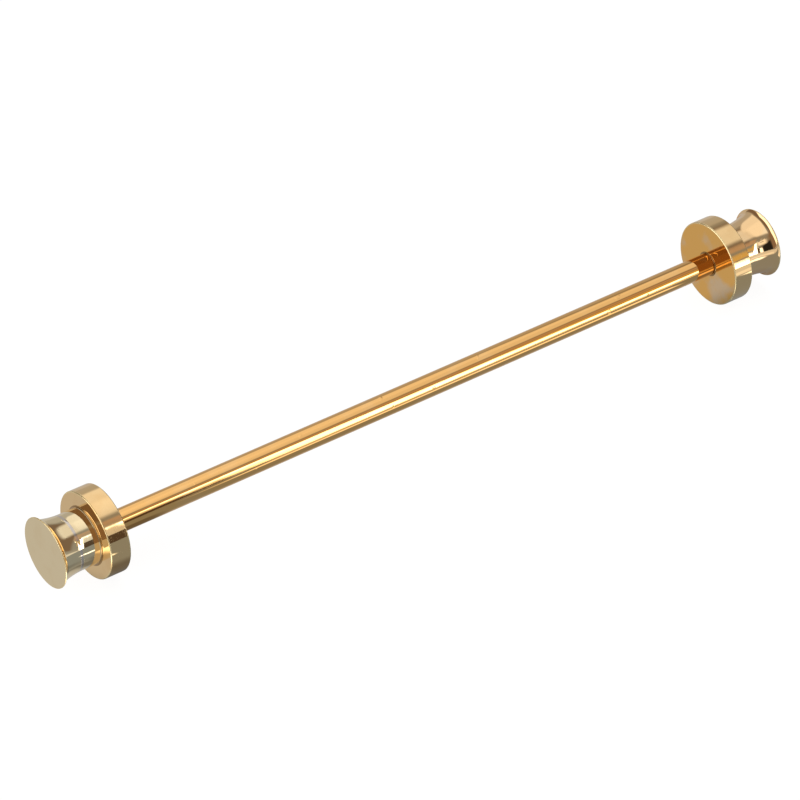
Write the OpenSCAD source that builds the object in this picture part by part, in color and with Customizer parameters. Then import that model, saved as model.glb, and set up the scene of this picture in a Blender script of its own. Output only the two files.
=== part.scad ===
// Collar bar: a slim polished rod that passes through the eyelets of a shirt collar, with a
// disc and a screwed knob on each end. The rod lies along X, +Z is up, and the origin is at
// the middle of the rod. Each end is drawn with its rod shoulder at x = 0, pointing to +X.

/* [Rod] */
// Diameter of the rod
rod_d = 1.6; // [1.5:0.1:2.2]
// Length of the rod from shoulder to shoulder, which is the span for the collar
rod_len = 50.6; // [40:0.2:70]
// Chamfer on each end of the rod, which makes the fine joint line at the disc
rod_end_chamfer = 0.05; // [0.02:0.01:0.1]

/* [Stud] */
// Diameter of the stud's root, soldered into the end of the rod
stud_root_d = 0.8; // [0.6:0.05:0.9]
// Depth of the stud's root in the rod
stud_root_depth = 2; // [1:0.5:4]
// Outer diameter of the stud's thread
thread_d = 1; // [0.9:0.05:1.1]
// Pitch of the thread
thread_pitch = 0.25; // [0.2:0.01:0.3]
// Depth of the thread
thread_depth = 0.125; // [0.1:0.005:0.15]
// Length of the stud inside the knob
thread_reach = 2.15; // [1.6:0.05:2.2]

/* [Disc] */
// Diameter of the disc
disc_d = 6.2; // [5:0.1:8]
// Thickness of the disc, its bearing ring included
disc_t = 1.6; // [1:0.1:2.4]
// Break on the disc's edges
disc_edge = 0.06; // [0.02:0.01:0.15]
// Diameter of the raised ring that bears on the rod's shoulder, at its top
bearing_d = 1.76; // [1.7:0.02:2.6]
// Height of the raised bearing ring
bearing_h = 0.06; // [0.03:0.01:0.2]
// How far the ring's side spreads towards the disc
bearing_spread = 0.04; // [0.02:0.01:0.1]

/* [Neck] */
// Diameter of the neck
neck_d = 3.96; // [3.4:0.02:4.4]
// Length of the neck from the disc to the seam
neck_len = 1.4; // [1:0.1:1.8]
// Radius of the hollow curve at the neck's foot
foot_flare = 0.14; // [0.05:0.01:0.3]
// Thickness of the foot's edge
foot_edge = 0.03; // [0.02:0.01:0.08]
// Length of the neck in front of the seam over which its flare begins
flare_lead = 0.3; // [0.1:0.05:0.6]
// Diameter of the threaded boss that carries the cap
boss_d = 2.7; // [2:0.1:3]
// Length of the boss past the neck
boss_len = 1; // [0.8:0.1:1.2]

/* [Seam ring] */
// Width of the bare solder ring between neck and cap
seam_w = 0.2; // [0.1:0.02:0.3]
// How far the ring's middle stands proud of the neck
seam_proud = 0.01; // [0:0.005:0.03]
// Width of the ring's two sloped edges
seam_edge = 0.04; // [0.02:0.01:0.05]

/* [Cap] */
// Diameter of the cap's flat face
cap_d = 5; // [4.6:0.1:6]
// Length of the cap from the seam to the face
cap_len = 1.5; // [1.3:0.1:2]
// Length of the flared lip behind the cap's rim
lip_len = 0.35; // [0.25:0.01:0.45]
// Share of the whole flare that falls to the lip
lip_share = 0.56; // [0.45:0.01:0.65]
// Thickness of the cap's rim
rim_t = 0.05; // [0.03:0.01:0.12]

/* [Fits] */
// Radial clearance of the stud's shank in the disc and in the neck's mouth
shank_gap = 0.05; // [0.03:0.01:0.08]
// Clearance between the threads, at the crests and the roots
crest_gap = 0.04; // [0.03:0.005:0.05]
// Clearance between the flanks of the threads
flank_gap = 0.03; // [0.02:0.005:0.04]

/* [Hidden] */

$fn = 128;

// Places along one end, counted from the rod's shoulder
disc_face_x = disc_t;
seam_x = disc_face_x + neck_len;
cap_x = seam_x + seam_w;
face_x = cap_x + cap_len;
boss_end_x = seam_x + boss_len;

// Rod and stud
rod_r = rod_d / 2;
stud_root_r = stud_root_d / 2;
crest_r = thread_d / 2;
core_r = crest_r - thread_depth;
shank_proud = 0.02;
shank_r = crest_r + shank_proud;
shank_overlap = 0.1;
shank_end_x = disc_face_x + shank_overlap;
stud_tip_x = disc_face_x + thread_reach;

// Holes that the stud passes through
bore_r = shank_r + shank_gap;
mouth_depth = shank_overlap + 0.1;

// Thread form
flank_angle = 30;
thread_steps = 20;
crest_half_width = thread_pitch / 16;
cavity_core_r = core_r + crest_gap;
cavity_crest_r = crest_r + crest_gap;

// Neck and ring
neck_r = neck_d / 2;
boss_r = boss_d / 2;

// Flare: one long curve from the neck over the ring to the lip, where a tighter one takes over
cap_r = cap_d / 2;
rim_x = face_x - rim_t;
lip_rise = (cap_r - neck_r) * lip_share;
lip_start = [cap_r - lip_rise, rim_x - lip_len];
flare_x = seam_x - flare_lead;
flare_angle = 2 * atan2(lip_start[0] - neck_r, lip_start[1] - flare_x);
flare_r = (lip_start[1] - flare_x) / sin(flare_angle);
lip_chord = norm([lip_rise, lip_len]);
lip_chord_angle = atan2(lip_rise, lip_len);
lip_r = lip_chord / (2 * sin(lip_chord_angle - flare_angle));
lip_centre = lip_start + lip_r * [cos(flare_angle), -sin(flare_angle)];

gold = [0.93, 0.74, 0.42];
pale_gold = [0.78, 0.70, 0.53];
silver = [0.78, 0.77, 0.74];

// Half width of a thread ridge at radius r, with the flank clearance asked for
function ridge_half_width(r, gap) =
    crest_half_width + (crest_r - r) * tan(flank_angle) + gap / cos(flank_angle);

// Radius of the long curve at a place along the end
function flare_radius(x) = neck_r + flare_r - sqrt(pow(flare_r, 2) - pow(x - flare_x, 2));

// Places a piece of one end: side is 1 for the right end and -1 for the left end
module at_end(side) {
    rotate([0, 0, side > 0 ? 0 : 180]) translate([rod_len / 2, 0, 0]) children();
}

// Turns an outline round X: its first coordinate is the radius, its second the place along X
module turned() {
    rotate([0, 90, 0]) rotate_extrude() children();
}

// A plain round hole along X
module hole(r, from_x, to_x) {
    translate([from_x, 0, 0]) rotate([0, 90, 0]) cylinder(r = r, h = to_x - from_x);
}

// Points of one cross-section of a right-hand thread ridge, at a step round the helix
function ridge_points(step, root_r, top_r, gap, last_step, taper) =
    let (
        turn = step / thread_steps,
        left = (last_step - thread_steps - step) / thread_steps,
        grown = taper ? max(0, min(1, left)) : 1,
        r = root_r + (top_r - root_r) * grown,
        root_w = ridge_half_width(root_r, gap),
        top_w = ridge_half_width(top_r, gap)
    )
    [
        for (p = [[root_r, -root_w], [r, -top_w], [r, top_w], [root_r, root_w]])
            [p[0] * cos(360 * turn), p[0] * sin(360 * turn), turn * thread_pitch + p[1]]
    ];

// A right-hand thread with its core, as one closed solid along Z. Each step adds four
// points, and the two ends are spiral ramps that fan out from a point on the axis.
module thread(root_r, top_r, gap, turns, taper) {
    last = turns * thread_steps;
    bottom = 4 * (last + 1);
    top = bottom + 1;
    root_w = ridge_half_width(root_r, gap);
    points = concat(
        [for (s = [0:last]) each ridge_points(s, root_r, top_r, gap, last, taper)],
        [[0, 0, -root_w], [0, 0, turns * thread_pitch + root_w]]
    );
    ridge = [
        for (s = [0:last - 1], j = [0:2])
            each [
                [4 * s + j, 4 * s + j + 1, 4 * s + j + 5],
                [4 * s + j, 4 * s + j + 5, 4 * s + j + 4]
            ]
    ];
    root = [
        for (s = [0:last - thread_steps - 1])
            let (a = 4 * s + 3, b = 4 * (s + thread_steps))
            each [[a, b, b + 4], [a, b + 4, a + 4]]
    ];
    bottom_ramp = [for (s = [0:thread_steps - 1]) [bottom, 4 * s, 4 * s + 4]];
    bottom_step = [
        for (pair = [[1, 0], [2, 1], [3, 2], [4 * thread_steps, 3]])
            [bottom, pair[0], pair[1]]
    ];
    top_ramp = [
        for (s = [last - thread_steps:last - 1]) [top, 4 * s + 7, 4 * s + 3]
    ];
    end = 4 * last;
    top_step = [
        for (pair = [
            [end + 2, end + 3], [end + 1, end + 2], [end, end + 1], [end - 4 * thread_steps + 3, end]
        ])
            [top, pair[0], pair[1]]
    ];
    polyhedron(
        points = points,
        faces = concat(ridge, root, bottom_ramp, bottom_step, top_ramp, top_step)
    );
}

// The stud's thread starts one turn inside the shank, so that it grows out of solid metal
thread_start_x = shank_end_x - 1.5 * thread_pitch;
stud_turns = ceil((stud_tip_x - thread_start_x) / thread_pitch) + 1;
cavity_turns = ceil((boss_end_x - thread_start_x) / thread_pitch) + 2;

module along_x(start_x) {
    translate([start_x, 0, 0]) rotate([0, 90, 0]) children();
}

module stud() {
    color(gold) {
        turned() polygon([
            [0, -stud_root_depth], [stud_root_r, -stud_root_depth], [stud_root_r, 0],
            [shank_r, 0], [shank_r, shank_end_x], [0, shank_end_x]
        ]);
        difference() {
            along_x(thread_start_x) thread(core_r, crest_r, 0, stud_turns, true);
            translate([stud_tip_x, -rod_d, -rod_d]) cube(2 * rod_d);
        }
    }
}

module rod() {
    half = rod_len / 2;
    color(gold) difference() {
        turned() polygon([
            [0, -half], [rod_r - rod_end_chamfer, -half], [rod_r, rod_end_chamfer - half],
            [rod_r, half - rod_end_chamfer], [rod_r - rod_end_chamfer, half], [0, half]
        ]);
        for (side = [-1, 1])
            at_end(side) hole(stud_root_r, -stud_root_depth, 1);
    }
}

module disc() {
    disc_r = disc_d / 2;
    bearing_r = bearing_d / 2;
    color(gold) turned() polygon([
        [bore_r, 0], [bearing_r, 0], [bearing_r + bearing_spread, bearing_h],
        [disc_r - disc_edge, bearing_h], [disc_r, bearing_h + disc_edge],
        [disc_r, disc_t - disc_edge], [disc_r - disc_edge, disc_t], [bore_r, disc_t]
    ]);
}

// What the long curve of the flare takes away, up to the lip
module flare_hollow() {
    intersection() {
        translate([neck_r + flare_r, flare_x]) circle(r = flare_r);
        translate([0, flare_x]) square([cap_d, lip_start[1] - flare_x]);
    }
}

// Outline of the neck and its boss, with the hollow curve at the foot
module neck_outline() {
    foot_r = neck_r + foot_flare;
    curve_x = disc_face_x + foot_edge + foot_flare;
    difference() {
        union() {
            translate([0, disc_face_x]) square([neck_r, flare_x - disc_face_x]);
            translate([0, flare_x]) square([cap_r, flare_lead]);
            translate([0, disc_face_x]) square([foot_r, foot_edge + foot_flare]);
            translate([0, seam_x]) square([boss_r, boss_len]);
        }
        translate([foot_r, curve_x]) circle(r = foot_flare);
        flare_hollow();
    }
}

module neck() {
    color(gold) difference() {
        turned() neck_outline();
        hole(bore_r, disc_face_x - 1, disc_face_x + mouth_depth);
        along_x(thread_start_x - thread_pitch)
            thread(cavity_core_r, cavity_crest_r, flank_gap, cavity_turns, false);
    }
}

module seam_ring() {
    neck_side_r = flare_radius(seam_x);
    cap_side_r = flare_radius(cap_x);
    color(silver) turned() polygon([
        [boss_r, seam_x], [neck_side_r, seam_x],
        [neck_side_r + seam_proud, seam_x + seam_edge],
        [cap_side_r + seam_proud, cap_x - seam_edge],
        [cap_side_r, cap_x], [boss_r, cap_x]
    ]);
}

module cap() {
    color(pale_gold) difference() {
        turned() difference() {
            translate([0, cap_x]) square([cap_r, cap_len]);
            flare_hollow();
            translate(lip_centre) circle(r = lip_r);
        }
        hole(boss_r, cap_x - 1, boss_end_x);
    }
}

rod();
at_end(-1) stud();  // left_stud
at_end(-1) disc();  // left_disc
at_end(-1) neck();  // left_neck
at_end(-1) seam_ring();  // left_seam_ring
at_end(-1) cap();  // left_cap
at_end(1) stud();  // right_stud
at_end(1) disc();  // right_disc
at_end(1) neck();  // right_neck
at_end(1) seam_ring();  // right_seam_ring
at_end(1) cap();  // right_cap
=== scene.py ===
"""Collar bar: a polished gold rod with a disc and a screwed knob on each end."""
import math

import bpy
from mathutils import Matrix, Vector


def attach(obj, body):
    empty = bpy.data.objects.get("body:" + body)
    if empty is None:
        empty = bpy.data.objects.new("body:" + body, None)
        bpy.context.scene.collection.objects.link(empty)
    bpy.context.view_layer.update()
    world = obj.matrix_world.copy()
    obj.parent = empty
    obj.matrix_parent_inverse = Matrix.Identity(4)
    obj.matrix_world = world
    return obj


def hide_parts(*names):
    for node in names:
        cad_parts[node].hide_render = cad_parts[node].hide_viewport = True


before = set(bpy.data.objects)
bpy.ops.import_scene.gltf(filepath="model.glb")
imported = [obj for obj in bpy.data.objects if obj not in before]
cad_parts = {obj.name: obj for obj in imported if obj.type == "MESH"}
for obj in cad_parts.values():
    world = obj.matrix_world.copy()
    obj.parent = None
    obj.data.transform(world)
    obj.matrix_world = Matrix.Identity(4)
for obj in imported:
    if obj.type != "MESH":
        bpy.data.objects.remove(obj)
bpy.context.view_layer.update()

# Sizes in millimetres; places along an end are counted outward from the rod's shoulder
MM = 0.001
# Rod, with the blind hole for the root of each stud
ROD_R = 0.8
ROD_HALF = 25.3
ROD_CHAMFER = 0.05
ROOT_R = 0.4
ROOT_DEPTH = 2.0
# Disc, with its bore and the raised ring that bears on the rod's shoulder
DISC_R = 3.1
DISC_T = 1.6
BORE_R = 0.57
BEARING_R = 0.88
BEARING_SPREAD = 0.04
BEARING_H = 0.06
# Neck, with its foot, the mouth of the tapped hole, the thread and the boss for the cap
NECK_R = 1.98
FOOT_R = 2.12
FOOT_CURVE = 0.14
MOUTH_X = 1.8
THREAD_R = 0.54
THREAD_DEPTH = 0.1
THREAD_PITCH = 0.25
BOSS_R = 1.35
BOSS_X = 4.0
SEAM_X = 3.0
# Cap, with its lip and its round rim, whose arc starts at an angle in degrees
CAP_X = 3.2
CAP_R = 2.5
LIP_X = 4.3
LIP_SHARE = 0.56
LIP_R = CAP_R - (CAP_R - NECK_R) * LIP_SHARE
RIM_X = 4.65
RIM_ROUND = 0.05
RIM_START = 150
FACE_X = 4.7
# Long hollow curve over neck, ring and cap
FLARE_X = 2.7
FLARE_ANGLE = 2 * math.atan2(LIP_R - NECK_R, LIP_X - FLARE_X)
FLARE_R = (LIP_X - FLARE_X) / math.sin(FLARE_ANGLE)
# Roundings, and how far a plain edge is broken
DISC_ROUND = 0.09
CHAMFER_ROUND = 0.03
SHOULDER_ROUND = 0.015
HOLE_ROUND = 0.01
FINE_ROUND = 0.02
BROKEN = 0.004
# Steps round the axis, along curves and round edges
SEGMENTS = 256
BORE_STEPS = 72
CURVE_STEPS = 24
FOOT_STEPS = 16
RIM_STEPS = 10
CORNER_STEPS = 5
EDGE_STEPS = 4
# Normals in the plane of an outline: along the end, back to the bar, away from and to the axis
AHEAD = (1, 0)
BACK = (-1, 0)
OUTWARD = (0, 1)
INWARD = (0, -1)
# Bands of an end with a painted highlight on its edges or in painted shade, in millimetres, and
# slopes that tell its faces apart
DISC_EDGE_BAND = 0.095
FOOT_SHADE = 0.084
BEARING_SHADE = 0.1
SLOPED = (0.12, 0.995)
UNDER_LIP = -0.86
TOWARDS_ROD = -0.99
# Plating: depth of its small nicks, and how many times as rough it is where it is hazy
NICK_DEPTH = 0.006
HAZY = 2.5
# Stretch that draws the rod's polishing lines out along it
ALONG = (0.08, 1, 1)
# Camera: its place in metres, the direction back to it from the bar, and its lens
CAMERA_PLACE = (-0.142178, -0.192854, 0.178547)
CAMERA_BACK = (-0.4716, -0.6468, 0.5993)
LENS = 197.8
SENSOR = 36
NEAR = 0.01
# Table: half its side in metres, its height, its own grey, and the glow that lifts it to white
TABLE_SIZE = 1.5
TABLE_Z = -DISC_R
TABLE_GREY = 0.8
TABLE_GLOW = 1.17
GLOW_SHARE = 0.8
# Greys of the table and the room that metal mirrors between their panels
MIRRORED_GREY = 0.54
ROOM_GREY = 0.3
# Tones of the panels
NEUTRAL = (1, 1, 1)
COOL = (0.92, 1.03, 1.15)
BROWN = (1.25, 0.92, 0.7)
AMBER = (1.35, 0.95, 0.35)
# The record's slot for most of the bar
GOLD = "polished_gold"


# Turned shapes

def arc(centre, radius, start, end, steps):
    """Points (x, r, normal) of an arc in the plane of the outline, angles in degrees."""
    points = []
    for i in range(steps + 1):
        a = math.radians(start + (end - start) * i / steps)
        normal = (math.cos(a), math.sin(a))
        points.append((centre[0] + radius * normal[0], centre[1] + radius * normal[1], normal))
    return points


def hollow(centre, radius, start, end, steps):
    """Points of an arc that the metal lies outside of, so that its normals point inward."""
    return [(x, r, (-along, -across)) for x, r, (along, across)
            in arc(centre, radius, start, end, steps)]


def rounded(corners):
    """Points (x, r, normal) of a closed outline, each corner (x, r, rounding) rounded off.

    The outline runs so that the metal lies on its right.
    """
    points = []
    count = len(corners)
    for i, (x, r, rounding) in enumerate(corners):
        here = Vector((x, r))
        before = (here - Vector(corners[i - 1][:2])).normalized()
        after = (Vector(corners[(i + 1) % count][:2]) - here).normalized()
        if r == 0:
            along = after if corners[i - 1][1] == 0 else before
            points.append((x, r, (-along.y, along.x)))
            continue
        turn = before.angle_signed(after, 0.0)
        reach = rounding * math.tan(abs(turn) / 2)
        first = Vector((-before.y, before.x))
        start = here - before * reach
        side = 1 if turn > 0 else -1
        centre = start - first * rounding * side
        for k in range(CORNER_STEPS + 1):
            a = -turn * k / CORNER_STEPS
            normal = Vector((first.x * math.cos(a) - first.y * math.sin(a),
                             first.x * math.sin(a) + first.y * math.cos(a)))
            place = centre + normal * rounding * side
            points.append((place.x, place.y, (normal.x, normal.y)))
    return points


def corner(x, r, before, after, size=BROKEN):
    """A plain corner of an outline, broken a little, between faces with the two normals."""
    return [(x - before[1] * size, r + before[0] * size, before),
            (x + after[1] * size, r - after[0] * size, after)]


def turn_up(x, r, size):
    """The rounded edge where a face that looks back along the bar meets the outside."""
    return arc((x + size, r - size), size, 180, 90, EDGE_STEPS)


def turn_down(x, r, size):
    """The rounded edge where the outside meets a face that looks outward along the bar."""
    return arc((x - size, r - size), size, 90, 0, EDGE_STEPS)


def flare_radius(x):
    """Radius of the knob's long hollow curve at a place along the end."""
    return NECK_R + FLARE_R - math.sqrt(FLARE_R ** 2 - (x - FLARE_X) ** 2)


def flare(start, end, lift=0.0):
    """The knob's long hollow curve between two places, raised by a crown of the given lift."""
    points = []
    for i in range(CURVE_STEPS + 1):
        x = start + (end - start) * i / CURVE_STEPS
        angle = math.asin((x - FLARE_X) / FLARE_R)
        across = 2 * i / CURVE_STEPS - 1
        r = flare_radius(x) + lift * (1 - across * across)
        slope = math.tan(angle) - lift * 4 * across / (end - start)
        normal = Vector((-slope, 1)).normalized()
        points.append((x, r, (normal.x, normal.y)))
    return points


def thread(x, angle):
    """Height and slope of the inner thread at a place: a ridge that winds round the hole."""
    turn = (x / THREAD_PITCH - angle / (2 * math.pi)) % 1
    height = THREAD_DEPTH * (1 - abs(2 * turn - 1))
    slope = 2 * THREAD_DEPTH / THREAD_PITCH * (1 if turn < 0.5 else -1)
    return height, slope


def placed(spot, side):
    """Moves a point, in millimetres, to its place on the bar, in metres; side 0 is the rod."""
    if side == 0:
        return [value * MM for value in spot]
    return [(ROD_HALF + spot[0]) * side * MM, spot[1] * side * MM, spot[2] * MM]


def aimed(normal, side):
    """Turns a normal to its place on the bar; side 0 is the rod."""
    if side == 0:
        return normal
    return (normal[0] * side, normal[1] * side, normal[2])


def band(here, there):
    """Faces between two rings of points, either of which may be a single point on the axis."""
    faces = []
    for k in range(SEGMENTS):
        n = (k + 1) % SEGMENTS
        if len(here) == 1:
            faces.append([here[0], there[n], there[k]])
        elif len(there) == 1:
            faces.append([here[k], here[n], there[0]])
        else:
            faces.append([here[k], here[n], there[n], there[k]])
    return faces


def lathe(name, outline, body, node, side, threaded=False):
    """Turns a closed outline round X into a mesh piece that stands for a CAD node."""
    spots = []
    normals = []
    rings = []
    for x, r, normal in outline:
        cut = threaded and r < BORE_R and MOUTH_X < x < BOSS_X
        count = 1 if r == 0 else SEGMENTS
        rings.append([len(spots) + k for k in range(count)])
        for k in range(count):
            a = 2 * math.pi * k / SEGMENTS
            depth, slope = thread(x, a) if cut else (0, 0)
            radius = r - depth
            spots.append((x, radius * math.cos(a), radius * math.sin(a)))
            normals.append((normal[0] - slope, normal[1] * math.cos(a), normal[1] * math.sin(a)))
    faces = []
    for here, there in zip(rings, rings[1:] + rings[:1]):
        if len(here) + len(there) > 2:
            faces += band(here, there)
    mesh = bpy.data.meshes.new(name)
    mesh.from_pydata([placed(spot, side) for spot in spots], [], faces)
    mesh.shade_smooth()
    mesh.normals_split_custom_set_from_vertices([aimed(normal, side) for normal in normals])
    piece = bpy.data.objects.new(name, mesh)
    bpy.context.collection.objects.link(piece)
    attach(piece, body)
    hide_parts(node)
    return piece


# Outlines of the pieces

def rod_outline():
    """The rod with its two chamfered shoulders and the blind holes of the studs."""
    half = [
        (ROD_HALF - ROOT_DEPTH, 0, 0), (ROD_HALF - ROOT_DEPTH, ROOT_R, HOLE_ROUND),
        (ROD_HALF, ROOT_R, HOLE_ROUND), (ROD_HALF, ROD_R - ROD_CHAMFER, SHOULDER_ROUND),
        (ROD_HALF - ROD_CHAMFER, ROD_R, CHAMFER_ROUND),
    ]
    mirrored = [(-x, r, rounding) for x, r, rounding in half]
    return rounded(mirrored + half[::-1])


def disc_outline():
    """The disc with its bore, and the bearing ring that widens towards the disc's face."""
    foot = BEARING_R + BEARING_SPREAD
    return rounded([
        (0, BORE_R, FINE_ROUND), (0, BEARING_R, FINE_ROUND), (BEARING_H, foot, FINE_ROUND),
        (BEARING_H, DISC_R, DISC_ROUND), (DISC_T, DISC_R, DISC_ROUND),
        (DISC_T, BORE_R, FINE_ROUND),
    ])


def neck_outline(edge):
    """From the foot over its hollow curve and the flare to the boss, then back by the bore."""
    hollow_x = DISC_T + BROKEN + FOOT_CURVE
    bore_len = BOSS_X - MOUTH_X
    bore = [(BOSS_X - bore_len * i / BORE_STEPS, THREAD_R, INWARD) for i in range(1, BORE_STEPS)]
    return (
        corner(DISC_T, FOOT_R, BACK, OUTWARD, BROKEN / 2)
        + hollow((hollow_x, NECK_R + FOOT_CURVE), FOOT_CURVE, 180, 270, FOOT_STEPS)
        + flare(FLARE_X, SEAM_X - edge) + turn_down(SEAM_X, flare_radius(SEAM_X), edge)
        + corner(SEAM_X, BOSS_R, AHEAD, OUTWARD) + turn_down(BOSS_X, BOSS_R, FINE_ROUND)
        + corner(BOSS_X, THREAD_R, AHEAD, INWARD) + bore
        + corner(MOUTH_X, THREAD_R, INWARD, BACK) + corner(MOUTH_X, BORE_R, BACK, INWARD)
        + corner(DISC_T, BORE_R, INWARD, BACK, FINE_ROUND)
    )


def seam_outline(edge, proud):
    """The ring in the seam, crowned by some height, with a groove on either side."""
    return (
        turn_up(SEAM_X, flare_radius(SEAM_X), edge) + flare(SEAM_X + edge, CAP_X - edge, proud)
        + turn_down(CAP_X, flare_radius(CAP_X), edge)
        + corner(CAP_X, BOSS_R, AHEAD, INWARD) + corner(SEAM_X, BOSS_R, INWARD, BACK)
    )


def cap_outline(edge):
    """The cap: the flare runs on into a tighter curve at the lip, then a round rim and the face."""
    chord = math.hypot(CAP_R - LIP_R, RIM_X - LIP_X)
    chord_angle = math.atan2(CAP_R - LIP_R, RIM_X - LIP_X)
    lip = chord / (2 * math.sin(chord_angle - FLARE_ANGLE))
    centre = (LIP_X - lip * math.sin(FLARE_ANGLE), LIP_R + lip * math.cos(FLARE_ANGLE))
    start = 270 + math.degrees(FLARE_ANGLE)
    end = start + 2 * math.degrees(chord_angle - FLARE_ANGLE)
    curve = hollow(centre, lip, start, end, CURVE_STEPS)
    return (
        turn_up(CAP_X, flare_radius(CAP_X), edge) + flare(CAP_X + edge, LIP_X)
        + [point for point in curve if point[1] < CAP_R - RIM_ROUND]
        + arc((FACE_X - RIM_ROUND, CAP_R - RIM_ROUND), RIM_ROUND, RIM_START, 0, RIM_STEPS)
        + [(FACE_X, 0, AHEAD), (BOSS_X, 0, BACK)]
        + corner(BOSS_X, BOSS_R, BACK, INWARD) + corner(CAP_X, BOSS_R, INWARD, BACK, FINE_ROUND)
    )


# Nodes that the materials, the table and the room share

def feed(tree, entry, value):
    """Feeds an input from a socket, or sets it to a plain value."""
    if isinstance(value, bpy.types.NodeSocket):
        tree.links.new(value, entry)
    else:
        entry.default_value = value


def calculated(tree, operation, *values):
    """Result of a math node fed by the given sockets."""
    node = tree.nodes.new("ShaderNodeMath")
    node.operation = operation
    for i, value in enumerate(values):
        tree.links.new(value, node.inputs[i])
    return node.outputs[0]


def ranged(tree, value, source, target=(0, 1)):
    """Carries a value smoothly from one range, given by its two ends, over to another."""
    node = tree.nodes.new("ShaderNodeMapRange")
    node.interpolation_type = "SMOOTHSTEP"
    node.inputs["From Min"].default_value = source[0]
    node.inputs["From Max"].default_value = source[1]
    node.inputs["To Min"].default_value = target[0]
    node.inputs["To Max"].default_value = target[1]
    tree.links.new(value, node.inputs["Value"])
    return node.outputs["Result"]


def in_millimetres(tree, place):
    """A place in metres counted in millimetres."""
    node = tree.nodes.new("ShaderNodeVectorMath")
    node.operation = "SCALE"
    node.inputs["Scale"].default_value = 1 / MM
    tree.links.new(place, node.inputs[0])
    return node.outputs["Vector"]


def parts_of(tree, vector):
    """The three parts of a vector."""
    node = tree.nodes.new("ShaderNodeSeparateXYZ")
    tree.links.new(vector, node.inputs["Vector"])
    return node.outputs


def mixed_colour(tree, factor, first, second):
    """Mixes two colours, each a socket or plain, by a factor from a socket."""
    node = tree.nodes.new("ShaderNodeMix")
    node.data_type = "RGBA"
    feed(tree, node.inputs["A"], first)
    feed(tree, node.inputs["B"], second)
    tree.links.new(factor, node.inputs["Factor"])
    return node.outputs["Result"]


def mixed_shader(tree, factor, first, second):
    """Mixes two shaders by a factor, which is a socket or plain."""
    node = tree.nodes.new("ShaderNodeMixShader")
    feed(tree, node.inputs["Fac"], factor)
    tree.links.new(first, node.inputs[1])
    tree.links.new(second, node.inputs[2])
    return node.outputs["Shader"]


def glow(tree, kind, colour=(1, 1, 1, 1), strength=1.0):
    """Light of a colour, which is a socket or plain, from an emission or a background node."""
    node = tree.nodes.new(kind)
    feed(tree, node.inputs["Color"], colour)
    node.inputs["Strength"].default_value = strength
    return node.outputs[0]


# Light and surroundings

def direction(azimuth, elevation):
    """Unit vector towards a place in the room: azimuth 0 is towards -Y and 90 towards +X."""
    a = math.radians(azimuth)
    e = math.radians(elevation)
    return Vector((math.sin(a) * math.cos(e), -math.cos(a) * math.cos(e), math.sin(e)))


def overhead(x, y):
    """Direction of a place on a ceiling one unit above the bar."""
    return Vector((x, y, 1)).normalized()


def panel_group():
    """A node group that masks a four-sided panel, given the normal and softness of each edge."""
    group = bpy.data.node_groups.new("panel", "ShaderNodeTree")
    interface = group.interface
    interface.new_socket("Place", in_out="INPUT", socket_type="NodeSocketVector")
    for i in range(4):
        interface.new_socket(f"Edge {i}", in_out="INPUT", socket_type="NodeSocketVector")
        interface.new_socket(f"Softness {i}", in_out="INPUT", socket_type="NodeSocketFloat")
    interface.new_socket("Mask", in_out="OUTPUT", socket_type="NodeSocketFloat")
    entry = group.nodes.new("NodeGroupInput")
    leave = group.nodes.new("NodeGroupOutput")
    mask = None
    for i in range(4):
        dot = group.nodes.new("ShaderNodeVectorMath")
        dot.operation = "DOT_PRODUCT"
        group.links.new(entry.outputs["Place"], dot.inputs[0])
        group.links.new(entry.outputs[f"Edge {i}"], dot.inputs[1])
        ratio = calculated(group, "DIVIDE", dot.outputs["Value"], entry.outputs[f"Softness {i}"])
        inside = ranged(group, ratio, (-1, 1))
        mask = calculated(group, "MULTIPLY", mask, inside) if mask else inside
    group.links.new(mask, leave.inputs["Mask"])
    return group


def edge_normals(corners, flat):
    """Inward normals of a panel's edges, scaled to the room's sphere or to the flat table."""
    middle = sum(corners, Vector()) / 4
    normals = []
    for i in range(4):
        edge = corners[i].cross(corners[(i + 1) % 4])
        edge = edge / (edge.xy.length if flat else edge.length)
        normals.append(-edge if edge.dot(middle) < 0 else edge)
    return normals


def painted(tree, place, grey, panels, flat=False):
    """Lays soft-edged panels over a grey, in order, and returns the colour's socket.

    Each panel is (corners, softness, tone, strength). The corners are vectors in order round
    it, and the softness is one number or one for each edge.
    """
    colour = (grey, grey, grey, 1)
    for corners, softness, tone, strength in panels:
        node = tree.nodes.new("ShaderNodeGroup")
        node.node_tree = PANEL
        tree.links.new(place, node.inputs["Place"])
        soft = softness if isinstance(softness, tuple) else (softness,) * 4
        for i, normal in enumerate(edge_normals(corners, flat)):
            node.inputs[f"Edge {i}"].default_value = normal
            node.inputs[f"Softness {i}"].default_value = soft[i]
        paint = (*[part * strength for part in tone], 1)
        colour = mixed_colour(tree, node.outputs["Mask"], colour, paint)
    return colour


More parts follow.
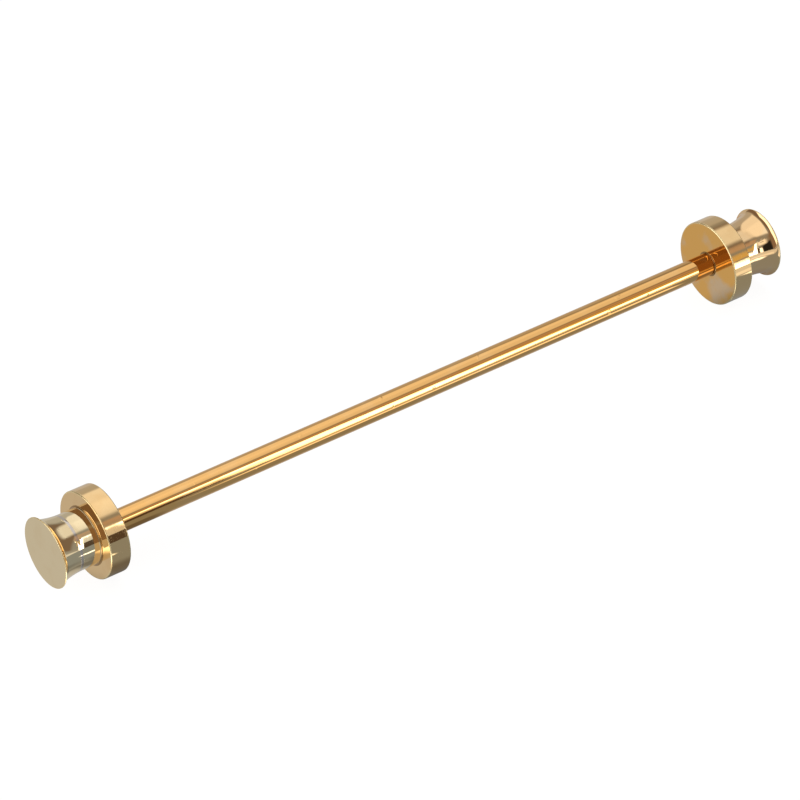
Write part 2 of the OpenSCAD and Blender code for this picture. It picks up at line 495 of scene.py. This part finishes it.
def room_panels():
    """Lamps, cards and walls as the bar sees them: corners are (azimuth, elevation)."""
    rows = [
        # wall behind, brown wall to the right with a paler foot, brown side on the left
        (((136, -30), (160, -30), (200, 30), (136, 30)), 0.1, NEUTRAL, 0.46),
        (((46, 6), (134, 6), (134, 50), (46, 44)), 0.07, BROWN, 0.16),
        (((36, -30), (100, -30), (100, 4), (36, 4)), 0.1, NEUTRAL, 0.38),
        (((-176, -30), (-60, -30), (-50, 70), (-150, 70)), 0.15, BROWN, 0.16),
        (((-60, -30), (4, -30), (4, 50), (-60, 50)), 0.08, BROWN, 0.2),
        # window far to the left, which only edges and lips catch
        (((-138, -12), (-52, -12), (-58, 36), (-134, 42)), 0.06, NEUTRAL, 1.8),
        # brown gap in front, between the softbox and the lamps below it
        (((31, 38), (46, 32), (50, 46), (34, 50)), 0.05, BROWN, 0.4),
        # amber card beside the strip lamp
        (((32, 18), (37, 14), (38, 30), (34, 34)), 0.03, AMBER, 0.5),
        # dark card beside the camera, and dark gap beside the lamps
        (((1, -24), (18, -20), (18, 20), (1, 34)), 0.05, NEUTRAL, 0.02),
        (((22.6, -10), (26.5, -10), (26.5, 18), (22.6, 18)), 0.01, BROWN, 0.07),
        # dim lamp high in front, and window beside it
        (((24, 18), (30, 18), (34, 38), (28, 38)), 0.02, NEUTRAL, 0.72),
        (((9, 27), (24, 25), (29, 40), (9, 41)), 0.06, NEUTRAL, 1.1),
        # strip lamp in three parts
        (((17, -2), (22.2, -2), (22.2, 16), (18, 16)), 0.015, NEUTRAL, 2.0),
        (((26.4, -3), (33.8, -1), (33.2, 14), (26.8, 16)), 0.02, NEUTRAL, 4.6),
        (((27.1, 12), (31.8, 12), (32.4, 35), (29.8, 36)), 0.02, NEUTRAL, 4.6),
    ]
    # the softbox overhead: its dimmer right side, its rear part and its bright middle
    ceiling = [
        (((0.2, -0.42), (1.28, -0.45), (1.14, 0.62), (0.2, 0.62)), (0.1, 0.07, 0.12, 0.1), 0.82),
        (((-0.05, 0.2), (0.64, 0.2), (0.93, 1.75), (-0.05, 1.75)), (0.1, 0.03, 0.1, 0.1), 0.92),
        (((-0.05, -0.66), (0.4, -0.52), (0.54, 0.4), (-0.05, 0.4)), (0.08, 0.06, 0.1, 0.1), 1.02),
    ]
    panels = [([direction(*place) for place in corners], softness, tone, strength)
              for corners, softness, tone, strength in rows]
    panels += [([overhead(*place) for place in corners], softness, NEUTRAL, strength)
               for corners, softness, strength in ceiling]
    return panels


def table_panels():
    """Light and dark places of the tabletop as the bar sees them: corners in millimetres."""
    rows = [
        # painted shade: a grey zone in front of the bar
        (((-27, -1400), (1400, -1400), (1400, -0.5), (-27, -0.5)), 1.2, COOL, 0.29),
        # painted light: the table paler further off to the right
        (((-6, -14), (46, -14), (1400, -1400), (686, -1400)), 2.0, NEUTRAL, 0.75),
        # shade under the two ends
        (((-27.2, -3.2), (-26, -3.2), (-26, -1.5), (-27.2, -1.5)), 0.3, NEUTRAL, 0.2),
        (((-26.4, -4.5), (-20, -4.5), (-20, 0.5), (-26.4, 0.5)), 1.0, NEUTRAL, 0.15),
        (((28, -2), (33, -2), (33, 1.5), (28, 1.5)), 1.0, NEUTRAL, 0.24),
        # painted light: a pale strip in front of the bar, and a pale patch beyond the right end
        (((-12, -7.2), (25, -3.6), (25, -6.3), (-12, -13)), (0.6, 0.5, 0.6, 4.0), NEUTRAL, 1.3),
        (((30, -13), (46, -13), (46, -22), (30, -22)), 2.0, NEUTRAL, 1.0),
        # bright spots beside the discs and the left knob
        (((-25, -8.4), (-23.6, -8.6), (-23.5, -10.4), (-24.9, -10.2)), 0.3, NEUTRAL, 2.0),
        (((31.8, -8), (34.5, -8.5), (34.5, -12), (31.8, -11.5)), 0.5, NEUTRAL, 2.0),
        (((-33, -3), (-29, -3), (-29, -6.5), (-33, -6.5)), 0.8, NEUTRAL, 3.0),
    ]
    return [([Vector((x, y, 1)) for x, y in corners], softness, tone, strength)
            for corners, softness, tone, strength in rows]


def make_world():
    """A painted room for the metal to mirror, and plain white for the camera."""
    world = bpy.data.worlds.new("studio")
    world.use_nodes = True
    tree = world.node_tree
    tree.nodes.clear()
    where = tree.nodes.new("ShaderNodeTexCoord")
    colour = painted(tree, where.outputs["Generated"], ROOM_GREY, room_panels())
    room = glow(tree, "ShaderNodeBackground", colour)
    white = glow(tree, "ShaderNodeBackground")
    path = tree.nodes.new("ShaderNodeLightPath")
    out = tree.nodes.new("ShaderNodeOutputWorld")
    shader = mixed_shader(tree, path.outputs["Is Camera Ray"], room, white)
    tree.links.new(shader, out.inputs["Surface"])
    bpy.context.scene.world = world


def table_material():
    """White to the camera with a faint shadow, and painted with light and shade for the metal."""
    material = bpy.data.materials.new("table")
    material.use_nodes = True
    material.cycles.emission_sampling = "NONE"
    tree = material.node_tree
    tree.nodes.clear()
    geometry = tree.nodes.new("ShaderNodeNewGeometry")
    place = parts_of(tree, in_millimetres(tree, geometry.outputs["Position"]))
    level = tree.nodes.new("ShaderNodeCombineXYZ")
    level.inputs["Z"].default_value = 1
    tree.links.new(place["X"], level.inputs["X"])
    tree.links.new(place["Y"], level.inputs["Y"])
    colour = painted(tree, level.outputs["Vector"], MIRRORED_GREY, table_panels(), flat=True)
    mirrored = glow(tree, "ShaderNodeEmission", colour)
    cloth = tree.nodes.new("ShaderNodeBsdfDiffuse")
    cloth.inputs["Color"].default_value = (TABLE_GREY, TABLE_GREY, TABLE_GREY, 1)
    plain = cloth.outputs["BSDF"]
    lift = glow(tree, "ShaderNodeEmission", strength=TABLE_GLOW)
    path = tree.nodes.new("ShaderNodeLightPath")
    seen = mixed_shader(tree, GLOW_SHARE, plain, lift)
    unseen = mixed_shader(tree, path.outputs["Is Glossy Ray"], plain, mirrored)
    shader = mixed_shader(tree, path.outputs["Is Camera Ray"], unseen, seen)
    out = tree.nodes.new("ShaderNodeOutputMaterial")
    tree.links.new(shader, out.inputs["Surface"])
    return material


def make_floor():
    """The tabletop that the two discs rest on."""
    size = TABLE_SIZE
    z = TABLE_Z * MM
    mesh = bpy.data.meshes.new("floor")
    mesh.from_pydata([(-size, -size, z), (size, -size, z), (size, size, z), (-size, size, z)], [],
                     [(0, 1, 2, 3)])
    mesh.materials.append(table_material())
    floor = bpy.data.objects.new("floor", mesh)
    bpy.context.collection.objects.link(floor)


def make_camera():
    """A long lens that looks down at the bar from its left front."""
    data = bpy.data.cameras.new("camera")
    data.lens = LENS
    data.sensor_width = SENSOR
    data.clip_start = NEAR
    camera = bpy.data.objects.new("camera", data)
    camera.location = CAMERA_PLACE
    camera.rotation_euler = (-Vector(CAMERA_BACK)).to_track_quat("-Z", "Y").to_euler()
    bpy.context.collection.objects.link(camera)
    bpy.context.scene.camera = camera


# Materials

def noise(tree, place, scale, detail, stretch=(1, 1, 1)):
    """Noise of the given scale per millimetre, stretched along the axes."""
    mapping = tree.nodes.new("ShaderNodeMapping")
    mapping.inputs["Scale"].default_value = stretch
    tree.links.new(place, mapping.inputs["Vector"])
    node = tree.nodes.new("ShaderNodeTexNoise")
    node.inputs["Scale"].default_value = scale
    node.inputs["Detail"].default_value = detail
    tree.links.new(mapping.outputs["Vector"], node.inputs["Vector"])
    return node.outputs["Fac"]


def bump(tree, height, depth, normal=None):
    """Raises the surface by a height of 0 to 1, times a depth in millimetres."""
    node = tree.nodes.new("ShaderNodeBump")
    node.inputs["Distance"].default_value = depth * MM
    tree.links.new(height, node.inputs["Height"])
    if normal:
        tree.links.new(normal, node.inputs["Normal"])
    return node.outputs["Normal"]


def edge_mask(tree):
    """1 where the surface turns from a face to the rim, 0 on both."""
    geometry = tree.nodes.new("ShaderNodeNewGeometry")
    along = parts_of(tree, geometry.outputs["Normal"])["X"]
    size = calculated(tree, "ABSOLUTE", along)
    rise = ranged(tree, size, (0.05, 0.4))
    fall = ranged(tree, size, (0.8, 0.99), (1, 0))
    return calculated(tree, "MULTIPLY", rise, fall)


def relief(tree, place, waves, lines, stretch, ragged):
    """Normal of the plating: faint waves, polishing lines, nicks and ragged edges."""
    normal = bump(tree, noise(tree, place, scale=0.45, detail=1), waves)
    normal = bump(tree, noise(tree, place, scale=5, detail=2, stretch=stretch), lines, normal)
    nicks = ranged(tree, noise(tree, place, scale=1.7, detail=0), (0.78, 0.84))
    normal = bump(tree, nicks, NICK_DEPTH, normal)
    if ragged:
        rough = noise(tree, place, scale=3.5, detail=3)
        normal = bump(tree, calculated(tree, "MULTIPLY", rough, edge_mask(tree)), ragged, normal)
    return normal


def metal(name, colour, worn, roughness=0.03, waves=0.01, lines=0.0008, stretch=(1, 1, 1),
          ragged=0.0, patch=0.6):
    """Polished plating with patches of a second tone, and haze that varies over it."""
    material = bpy.data.materials.new(name)
    material.use_nodes = True
    tree = material.node_tree
    shader = tree.nodes["Principled BSDF"]
    shader.inputs["Metallic"].default_value = 1
    where = tree.nodes.new("ShaderNodeTexCoord")
    place = in_millimetres(tree, where.outputs["Object"])
    patches = ranged(tree, noise(tree, place, scale=patch, detail=3), (0.5, 0.68))
    tone = mixed_colour(tree, patches, (*colour, 1), (*worn, 1))
    tree.links.new(tone, shader.inputs["Base Color"])
    cloudy = noise(tree, place, scale=3, detail=4, stretch=stretch)
    haze = ranged(tree, cloudy, (0.45, 0.75), (roughness, roughness * HAZY))
    tree.links.new(haze, shader.inputs["Roughness"])
    normal = relief(tree, place, waves, lines, stretch, ragged)
    tree.links.new(normal, shader.inputs["Normal"])
    return material


def kind_of(part, out, radius, slope):
    """Which gold a face of an end has, by its place and by how far it looks along the end."""
    sloped = SLOPED[0] < abs(slope) < SLOPED[1]
    if part == "neck" and out < DISC_T + FOOT_SHADE:
        return "shade"
    # Cap rim and disc edges take the lighter gold of the painted edge highlight
    if part == "cap" and sloped and radius > CAP_R - RIM_ROUND and slope > UNDER_LIP:
        return "edge"
    if part == "disc" and sloped and radius > DISC_R - DISC_EDGE_BAND:
        return "edge"
    if part == "disc" and out < BEARING_H and radius < BEARING_R + BEARING_SHADE:
        return "shade"
    # The face towards the rod takes the deep orange gold of the painted reflection of the rod
    if part == "disc" and slope < TOWARDS_ROD:
        return "face"
    return "plain"


def dress(piece, part, side, golds):
    """Gives each face of a piece of an end its own gold out of the given ones."""
    kinds = []
    for polygon in piece.data.polygons:
        middle = polygon.center / MM
        out = abs(middle.x) - ROD_HALF
        radius = math.hypot(middle.y, middle.z)
        kinds.append(kind_of(part, out, radius, polygon.normal.x * side))
    used = [kind for kind in golds if kind in kinds]
    for kind in used:
        piece.data.materials.append(golds[kind])
    for polygon, kind in zip(piece.data.polygons, kinds):
        polygon.material_index = used.index(kind)


# The bar

def make_rod():
    """The rod, whose polishing lines run along it."""
    rod = lathe("bar_rod", rod_outline(), "bar", "rod", 0)
    rod.data.materials.append(rod_gold)


def make_end(end, side, knob, knob_slot, ring, ring_slot, groove, proud):
    """Disc, neck, seam ring and cap of one end, and the finish of its stud.

    The groove is the rounding on either side of the ring, and proud is the height of its crown.
    """
    rows = [
        ("disc", disc_outline(), "disc", disc_gold, GOLD),
        ("neck", neck_outline(groove), "knob", knob, knob_slot),
        ("seam_ring", seam_outline(groove, proud), "knob", ring, ring_slot),
        ("cap", cap_outline(groove), "knob", knob, knob_slot),
    ]
    for part, outline, body, gold, slot in rows:
        piece = lathe(f"{end}_turned_{part}", outline, f"{end}_{body}", f"{end}_{part}",
                      side, threaded=part == "neck")
        golds = {"plain": gold, "face": face_reflection_gold, "edge": edge_highlight_gold, "shade": shade_gold}
        dress(piece, part, side, golds)
    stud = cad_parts[f"{end}_stud"]
    stud.data.materials.clear()
    stud.data.materials.append(brass)


bpy.context.scene.view_settings.view_transform = "Standard"
PANEL = panel_group()
make_camera()
make_world()
make_floor()

rod_gold = metal("rod_gold", (0.97, 0.55, 0.19), (0.97, 0.57, 0.22), waves=0.003, lines=0.001,
                 stretch=ALONG)
disc_gold = metal("disc_gold", (0.97, 0.67, 0.33), (0.93, 0.62, 0.29), ragged=0.03)
# Disc face towards the rod: deep orange, a painted reflection of the gold rod, with patches of a
# paler tone
face_reflection_gold = metal("face_reflection_gold", (0.97, 0.53, 0.14), (0.84, 0.6, 0.36), roughness=0.06, patch=0.4)
# Disc edges and cap rim: a lighter gold that is a painted highlight, on rougher plating
edge_highlight_gold = metal("edge_highlight_gold", (0.98, 0.78, 0.42), (0.95, 0.66, 0.3), roughness=0.22, lines=0.004)
shade_gold = metal("shade_gold", (0.42, 0.24, 0.08), (0.3, 0.16, 0.05), roughness=0.12)
pale_gold = metal("pale_gold", (0.96, 0.78, 0.48), (0.94, 0.75, 0.45))
knob_gold = metal("knob_gold", (0.97, 0.65, 0.33), (0.95, 0.68, 0.38))
silver = metal("silver", (0.8, 0.69, 0.58), (0.72, 0.64, 0.56), waves=0.002)
brass = metal("brass", (0.8, 0.55, 0.25), (0.7, 0.46, 0.2), roughness=0.15)

# The seam is bare and slightly crowned on the left end, and plated over on the right end
make_rod()
make_end("left", -1, knob=pale_gold, knob_slot="pale_gold", ring=silver,
         ring_slot="solder_silver", groove=0.002, proud=0.002)
make_end("right", 1, knob=knob_gold, knob_slot=GOLD, ring=knob_gold, ring_slot=GOLD,
         groove=0.001, proud=0.0)
